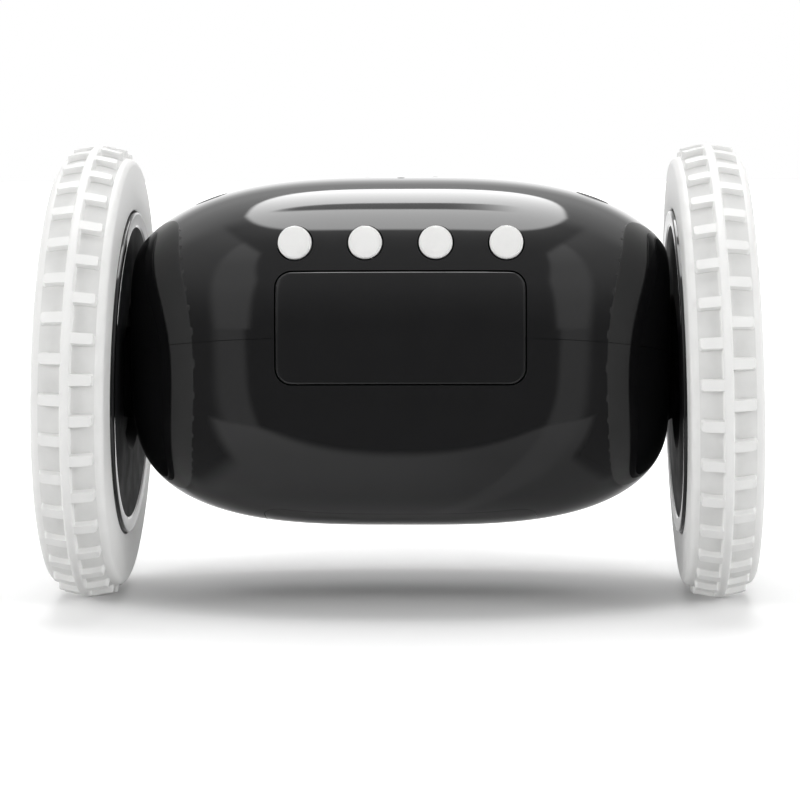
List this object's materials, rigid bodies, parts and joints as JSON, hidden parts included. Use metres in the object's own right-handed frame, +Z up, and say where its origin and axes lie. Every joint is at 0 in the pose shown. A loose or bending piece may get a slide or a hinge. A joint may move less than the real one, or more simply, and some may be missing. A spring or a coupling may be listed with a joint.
{
  "type": "rolling alarm clock",
  "caption": "Alarm clock with a glossy pebble-shaped body between large lugged rubber wheels that its own motors turn, with set buttons, a snooze key and a display.",
  "frame": {"origin": "on the floor, midway between the wheels", "axes": "+X along the axles, to the right of someone facing the keys; the keys face -Y and the display +Y; +Z up"},
  "size_m": [0.1376, 0.089, 0.0889],
  "materials": {
    "black_shell": "polished black",
    "black_key": "polished black",
    "black_hub": "polished black",
    "white_tyre": "smooth moulded rubber with a slight sheen",
    "white_button": "fine matt",
    "grey_plug": "matt",
    "clear_window": "clear, polished",
    "lcd": "grey-green liquid crystal",
    "dark_plastic": "matt",
    "circuit_board": "green solder mask",
    "natural_plastic": "natural moulded",
    "steel": "bright",
    "motor_can": "zinc-plated can",
    "brass": "plain",
    "cell_wrap": "printed film"
  },
  "bodies": {
    "housing": {"upper_shell": "black_shell", "lower_shell": "black_shell", "left_screw_plug": "grey_plug", "right_screw_plug": "grey_plug", "left_shell_screw": "steel", "right_shell_screw": "steel", "display_window": "clear_window", "lcd_panel": "lcd", "lcd_frame": "dark_plastic", "main_board": "circuit_board", "key_board": "circuit_board", "snooze_switch": "dark_plastic", "hour_switch": "dark_plastic", "minute_switch": "dark_plastic", "alarm_switch": "dark_plastic", "time_switch": "dark_plastic", "speaker": "motor_can", "battery_tray": "natural_plastic", "battery_1": "cell_wrap", "battery_2": "cell_wrap", "battery_3": "cell_wrap", "battery_4": "cell_wrap", "left_battery_contact": "steel", "right_battery_contact": "steel", "left_motor": "motor_can", "right_motor": "motor_can", "left_gear_frame": "dark_plastic", "right_gear_frame": "dark_plastic", "left_idler_pin": "steel", "right_idler_pin": "steel", "left_axle_bush": "brass", "right_axle_bush": "brass"},
    "battery_door": {"battery_door": "black_shell"},
    "snooze_key": {"snooze_key": "black_key"},
    "hour_button": {"hour_button": "white_button"},
    "minute_button": {"minute_button": "white_button"},
    "alarm_button": {"alarm_button": "white_button"},
    "time_button": {"time_button": "white_button"},
    "left_wheel": {"left_tyre": "white_tyre", "left_hub": "black_hub", "left_hub_cover": "black_hub", "left_hub_cap": "black_hub", "left_wheel_screw": "steel", "left_output_shaft": "steel", "left_output_gear": "natural_plastic"},
    "left_idler": {"left_idler_gear": "natural_plastic"},
    "left_rotor": {"left_motor_pinion": "brass"},
    "right_wheel": {"right_tyre": "white_tyre", "right_hub": "black_hub", "right_hub_cover": "black_hub", "right_hub_cap": "black_hub", "right_wheel_screw": "steel", "right_output_shaft": "steel", "right_output_gear": "natural_plastic"},
    "right_idler": {"right_idler_gear": "natural_plastic"},
    "right_rotor": {"right_motor_pinion": "brass"}
  },
  "joints": [
    {"name": "snooze_press", "type": "slide", "parent": "housing", "child": "snooze_key", "axis": [0, 0.9903, -0.1392], "range_m": [0, 0.0008], "stiffness_N_per_m": 800, "springref_m": -0.001},
    {"name": "hour_press", "type": "slide", "parent": "housing", "child": "hour_button", "axis": [0, 0.9903, -0.1392], "range_m": [0, 0.0006], "stiffness_N_per_m": 900, "springref_m": -0.0008},
    {"name": "minute_press", "type": "slide", "parent": "housing", "child": "minute_button", "axis": [0, 0.9903, -0.1392], "range_m": [0, 0.0006], "stiffness_N_per_m": 900, "springref_m": -0.0008},
    {"name": "alarm_press", "type": "slide", "parent": "housing", "child": "alarm_button", "axis": [0, 0.9903, -0.1392], "range_m": [0, 0.0006], "stiffness_N_per_m": 900, "springref_m": -0.0008},
    {"name": "time_press", "type": "slide", "parent": "housing", "child": "time_button", "axis": [0, 0.9903, -0.1392], "range_m": [0, 0.0006], "stiffness_N_per_m": 900, "springref_m": -0.0008},
    {"name": "left_wheel_turn", "type": "hinge", "parent": "housing", "child": "left_wheel", "pos_m": [-0.0605, 0, 0.04447], "axis": [0.9996, 0, -0.0279], "continuous": true},
    {"name": "left_idler_turn", "type": "hinge", "parent": "housing", "child": "left_idler", "pos_m": [-0.04413, 0.00325, 0.05763], "axis": [0.9996, 0, -0.0279], "continuous": true},
    {"name": "left_rotor_turn", "type": "hinge", "parent": "housing", "child": "left_rotor", "pos_m": [-0.04451, 0.0065, 0.04402], "axis": [0.9996, 0, -0.0279], "continuous": true},
    {"name": "right_wheel_turn", "type": "hinge", "parent": "housing", "child": "right_wheel", "pos_m": [0.0605, 0, 0.04447], "axis": [0.9996, 0, 0.0279], "continuous": true},
    {"name": "right_idler_turn", "type": "hinge", "parent": "housing", "child": "right_idler", "pos_m": [0.04413, 0.00325, 0.05763], "axis": [0.9996, 0, 0.0279], "continuous": true},
    {"name": "right_rotor_turn", "type": "hinge", "parent": "housing", "child": "right_rotor", "pos_m": [0.04451, 0.0065, 0.04402], "axis": [0.9996, 0, 0.0279], "continuous": true},
    {"name": "battery_door_hinge", "type": "hinge", "parent": "housing", "child": "battery_door", "pos_m": [0, 0.0235, 0.01984], "axis": [1, 0, 0], "range_deg": [0, 16]}
  ],
  "couplings": [
    {"joint": "left_idler_turn", "follows": "left_wheel_turn", "ratio": -4},
    {"joint": "left_rotor_turn", "follows": "left_wheel_turn", "ratio": 16},
    {"joint": "right_idler_turn", "follows": "right_wheel_turn", "ratio": -4},
    {"joint": "right_rotor_turn", "follows": "right_wheel_turn", "ratio": 16}
  ]
}
